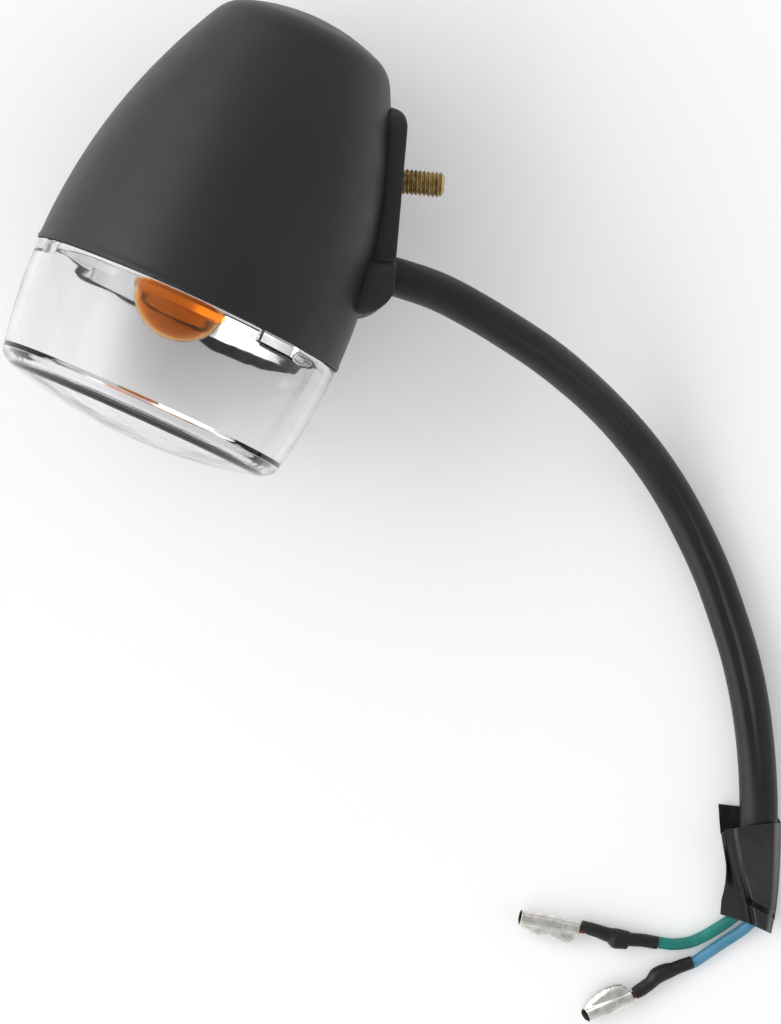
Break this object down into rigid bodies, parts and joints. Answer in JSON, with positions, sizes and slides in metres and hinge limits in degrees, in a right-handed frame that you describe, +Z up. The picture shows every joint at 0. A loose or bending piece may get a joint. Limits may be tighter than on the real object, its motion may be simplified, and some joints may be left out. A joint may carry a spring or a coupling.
{
  "type": "turn signal indicator",
  "caption": "Bullet-shaped motorcycle turn signal indicator with clear lens, amber bulb, rubber mounting pad, threaded stud and a short sleeved cord with barrel terminals.",
  "frame": {"origin": "on the rubber pad's flat mounting face, midway between the stud and the cord's exit", "axes": "+X out of the mounting face along the stud, +Z up from the table that the lamp and its cord lie on, the lens end pointing towards -Y and slightly up"},
  "size_m": [0.1644, 0.1983, 0.0624],
  "materials": {
    "black_plastic": "fine moulded matte black",
    "black_rubber": "dull black rubber",
    "clear_plastic": "clear moulded acrylic",
    "silvered": "vacuum-metallised reflector",
    "zinc_steel": "bright zinc plate",
    "yellow_zinc": "yellow passivated zinc",
    "phenolic": "brown phenolic board",
    "brass": "bare brass",
    "amber_glass": "amber lacquered glass",
    "clear_glass": "clear glass",
    "black_glass": "opaque black glass",
    "nickel": "nickel-plated brass",
    "solder": "dull solder",
    "tungsten": "bare wire",
    "tinned": "bright tin plate",
    "copper": "bare copper strands",
    "sleeve_vinyl": "soft black vinyl",
    "tape_vinyl": "black vinyl tape",
    "boot_vinyl": "dark vinyl boot",
    "green_vinyl": "green wire insulation",
    "blue_vinyl": "light blue wire insulation"
  },
  "bodies": {
    "housing": {"housing": "black_plastic", "lens_seal": "black_rubber", "reflector": "silvered", "socket_shell": "zinc_steel", "socket_base": "phenolic", "socket_terminal": "brass", "contact_spring": "zinc_steel", "inner_lead_green": "green_vinyl", "inner_lead_blue": "blue_vinyl", "mounting_pad": "black_rubber", "mounting_stud": "yellow_zinc", "stud_washer": "zinc_steel", "cable_sleeve": "sleeve_vinyl", "tape_wrap": "tape_vinyl", "wire_green": "green_vinyl", "wire_blue": "blue_vinyl", "boot_green": "boot_vinyl", "boot_blue": "boot_vinyl", "conductor_green": "copper", "conductor_blue": "copper", "terminal_green": "tinned", "terminal_blue": "tinned"},
    "lens": {"lens": "clear_plastic"},
    "carriage": {"contact_carriage": "phenolic", "contact_button": "brass"},
    "bulb": {"bulb_glass": "amber_glass", "bulb_cap": "nickel", "bulb_insulator": "black_glass", "bulb_contact": "solder", "bulb_stem": "clear_glass", "bulb_lead_left": "tungsten", "bulb_lead_right": "tungsten", "bulb_filament": "tungsten"}
  },
  "joints": [
    {"name": "lens_pull", "type": "slide", "parent": "housing", "child": "lens", "axis": [-0.3299, -0.9376, 0.1101], "range_m": [0, 0.03]},
    {"name": "bulb_push", "type": "slide", "parent": "housing", "child": "carriage", "axis": [0.3299, 0.9376, -0.1101], "range_m": [0, 0.002], "stiffness_N_per_m": 800, "springref_m": -0.003, "deforming": ["contact_spring"]},
    {"name": "bulb_turn", "type": "hinge", "parent": "carriage", "child": "bulb", "pos_m": [-0.0381, -0.01798, 0.00211], "axis": [-0.3299, -0.9376, 0.1101], "range_deg": [0, 20]}
  ]
}
